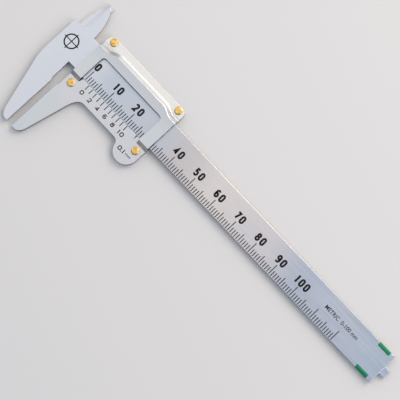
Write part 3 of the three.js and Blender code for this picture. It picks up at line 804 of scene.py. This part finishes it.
# Lays a flat pen stroke of even width into a mesh, mitred at its corners.
def inkStroke(solid, points, width, face, datum, lift):
    path = [Vector(p) for i, p in enumerate(points) if i == 0 or math.dist(p, points[i - 1]) > 1e-4]
    closed = (path[0] - path[-1]).length < 1e-3
    if closed:
        path.pop()
    count, sides = len(path), []
    for i, point in enumerate(path):
        before = path[i - 1] if closed or i > 0 else None
        after = path[(i + 1) % count] if closed or i < count - 1 else None
        one = (point - before).normalized() if before is not None else (after - point).normalized()
        two = (after - point).normalized() if after is not None else one
        across = Vector((-one.y - two.y, one.x + two.x)).normalized()
        reach = width / 2 / max(across.dot(Vector((-one.y, one.x))), 0.45)
        sides.append((point + across * reach, point - across * reach))
    top = (face + inlay["proud"] + lift) * mm
    low = (face - inlay["depth"]) * mm
    rings = []
    for left, right in sides:
        corners = [(left, top), (right, top), (right, low), (left, low)]
        rings.append([solid.verts.new(((p.x + datum.x) * mm, (p.y + datum.y) * mm, z)) for p, z in corners])
    pairs = list(zip(rings, rings[1:] + rings[:1])) if closed else list(zip(rings, rings[1:]))
    for a, b in pairs:
        for i in range(4):
            j = (i + 1) % 4
            solid.faces.new((a[i], a[j], b[j], b[i]))
    if not closed:
        solid.faces.new(rings[0][::-1])
        solid.faces.new(rings[-1])


# The strokes of one character, whose box starts at that place. A point is a short upright stroke.
def characterStrokes(character, left, foot, width, pen):
    stroke = pen["stroke"]
    if character == ".":
        return [[(left + width / 2, foot), (left + width / 2, foot + stroke * 1.1)]]
    wide, tall = width - stroke, pen["height"] - stroke
    return [[(left + stroke / 2 + x * wide, foot + stroke / 2 + y * tall) for x, y in points]
            for points in numeralStrokes[character]]


# Places strings of numerals, each centred on its own point, as one piece of inlaid enamel.
def makeNumerals(name, labels, pen, face, datum, body, extraStrokes=()):
    strokes = []
    for text, centreX, footY in labels:
        first = centreX - pen["pitch"] * (len(text) - 1) / 2
        for place, character in enumerate(text):
            width = pen["width"] * pen["narrow"].get(character, 1.0)
            left = first + pen["pitch"] * place - width / 2
            if character == "1":
                left += pen["lean"]
            strokes += [(points, pen["stroke"])
                        for points in characterStrokes(character, left, footY, width, pen)]
    solid = bmesh.new()
    for number, (points, width) in enumerate(strokes + list(extraStrokes)):
        inkStroke(solid, points, width, face, datum, inlay["lift"] * (number % 3))
    bmesh.ops.recalc_face_normals(solid, faces=solid.faces)
    mesh = bpy.data.meshes.new(name)
    solid.to_mesh(mesh)
    solid.free()
    return finishPiece(newPiece(name, mesh), enamel, body, "stainless")


boldPen = {
    "height": 3.05, "width": 1.8, "stroke": 0.72, "pitch": 2.27, "lean": 0.15, "narrow": {"1": 0.66},
}
finePen = {
    "height": 1.62, "width": 1.42, "stroke": 0.34, "pitch": 1.55, "lean": 0.05,
    "narrow": {"1": 0.42, ".": 0.25},
}
mainFoot, vernierFoot = 4.8, -4.35
mainLabels = [(str(n), mainScale["start"] + n, mainFoot) for n in range(0, 101, 10)]
vernierLabels = [(str(n), vernierScale["start"] + vernierScale["pitch"] * n, vernierFoot)
                 for n in range(0, 11, 2)]
makeNumerals("mainNumerals", mainLabels, boldPen, beamFace, beamDatum, "beam")
makeNumerals("vernierNumerals", vernierLabels, finePen, flangeFace, sliderDatum, "slider")


# Small plain lettering with the built-in font, sunk into the face like the other marks. The font's
# outline is made a little bolder, then scaled to fill the width and height asked for.
def makeLettering(name, text, written, face, datum, body):
    curve = bpy.data.curves.new(name, "FONT")
    curve.body, curve.size, curve.resolution_u = text, 1.0, 3
    curve.extrude, curve.offset = 0.02, 0.013
    writing = newPiece(name, curve)
    mesh = bpy.data.meshes.new_from_object(writing.evaluated_get(bpy.context.evaluated_depsgraph_get()))
    bpy.data.objects.remove(writing)
    low = Vector([min(v.co[i] for v in mesh.vertices) for i in range(3)])
    size = Vector([max(v.co[i] for v in mesh.vertices) for i in range(3)]) - low
    foot = Vector((written["x"] + datum.x, written["y"] + datum.y, face + inlay["proud"] - inlay["depth"]))
    full = (written["wide"], written["height"], inlay["depth"])
    for vert in mesh.vertices:
        share = vert.co - low
        vert.co = Vector([foot[i] + share[i] / size[i] * full[i] for i in range(3)]) * mm
    return finishPiece(newPiece(name, mesh), enamel, body, "stainless")


lobeText = {"x": 30.6, "y": -7.8}
resolution = [(text, lobeText["x"] + along, lobeText["y"])
              for text, along in (("0", 0), (".", 1.02), ("1", 1.7))]
unit = {"x": lobeText["x"] + 2.75, "y": -7.35, "wide": 2.3, "height": 0.6}
rangeText = {"x": 119.0, "y": 6.2, "wide": 15.0, "height": 1.5}
makeNumerals("resolutionNumerals", resolution, finePen, flangeFace, sliderDatum, "slider")
makeLettering("resolutionUnit", "mm", unit, flangeFace, sliderDatum, "slider")
makeLettering("rangeLettering", "METRIC  0-100 mm", rangeText, beamFace, beamDatum, "beam")


headMark = {"x": -4.9, "y": 5.8, "radius": 2.5, "reach": 3.2, "ringLine": 0.5, "crossLine": 0.35}


# A plain ring and cross on the head.
def makeHeadMark():
    x, y, reach = headMark["x"], headMark["y"], headMark["reach"]
    ring = turn(x, y, headMark["radius"], headMark["radius"], 0, 360, 40)
    across, up = [(x - reach, y), (x + reach, y)], [(x, y - reach), (x, y + reach)]
    strokes = [(ring, headMark["ringLine"]), (across, headMark["crossLine"]), (up, headMark["crossLine"])]
    return makeNumerals("headMark", [], boldPen, beamFace, beamDatum, "beam", strokes)


makeHeadMark()
print("marks made")


stage = {"floor": 3.0, "gap": 0.00002, "floorColour": "#cdcac6", "skyColour": "#bfcce2", "sky": 0.62}


# Matt paper that the caliper lies on, a hair below it.
def makeFloor():
    half, z = stage["floor"] / 2, cadBounds[0][2] - stage["gap"]
    mesh = bpy.data.meshes.new("floor")
    corners = [(-half, -half, z), (half, -half, z), (half, half, z), (-half, half, z)]
    mesh.from_pydata(corners, [], [(0, 1, 2, 3)])
    paper = {"Roughness": 0.9, "Base Color": linear(stage["floorColour"])}
    mesh.materials.append(newMaterial("mattFloorPaper", paper)[0])
    newPiece("floor", mesh)


# Each softbox: its place and size in metres, its power in watts and its colour. All face the origin.
softboxes = {
    "keySoftbox": ((0.10, 0.55, 0.60), 0.50, 3.4, "#fff6ec"),
    "sideSoftbox": ((-0.10, 1.05, 0.42), 1.10, 4.6, "#fffaf4"),
    "leftSoftbox": ((-1.10, 0.10, 0.45), 0.90, 2.6, "#fdf6f4"),
    "rightSoftbox": ((0.80, 0.15, 0.60), 0.60, 3.6, "#fbfaff"),
    "overheadSoftbox": ((-0.35, 0.05, 0.95), 0.90, 2.2, "#fffdf8"),
}


def makeLights():
    for name, (place, size, power, colour) in softboxes.items():
        data = bpy.data.lights.new(name, "AREA")
        data.shape, data.size, data.energy, data.color = "SQUARE", size, power, linear(colour)[:3]
        light = newPiece(name, data)
        light.location = place
        light.rotation_mode = "QUATERNION"
        light.rotation_quaternion = (-Vector(place)).to_track_quat("-Z", "Y")
    world = bpy.data.worlds.new("studioWorld")
    world.use_nodes = True
    sky = world.node_tree.nodes["Background"].inputs
    sky["Color"].default_value, sky["Strength"].default_value = linear(stage["skyColour"]), stage["sky"]
    bpy.context.scene.world = world
    bpy.context.scene.view_settings.view_transform = "Standard"


makeFloor()
makeLights()

# The camera's place and target in metres, its up direction and its angle of view in degrees.
view = {
    "place": (0.02996, -0.02434, 0.46980), "target": (-0.00559, 0.00302, 0.0),
    "up": (-0.7257, 0.6815, 0.0946), "angle": 16.26,
}


def makeCamera():
    data = bpy.data.cameras.new("camera")
    data.angle = math.radians(view["angle"])
    camera = newPiece("camera", data)
    place, target = Vector(view["place"]), Vector(view["target"])
    back = (place - target).normalized()
    right = Vector(view["up"]).cross(back).normalized()
    up = back.cross(right)
    rows = [(right[i], up[i], back[i], place[i]) for i in range(3)]
    camera.matrix_world = Matrix(rows + [(0, 0, 0, 1)])
    bpy.context.scene.camera = camera


makeCamera()
print("stage, lights and camera made")
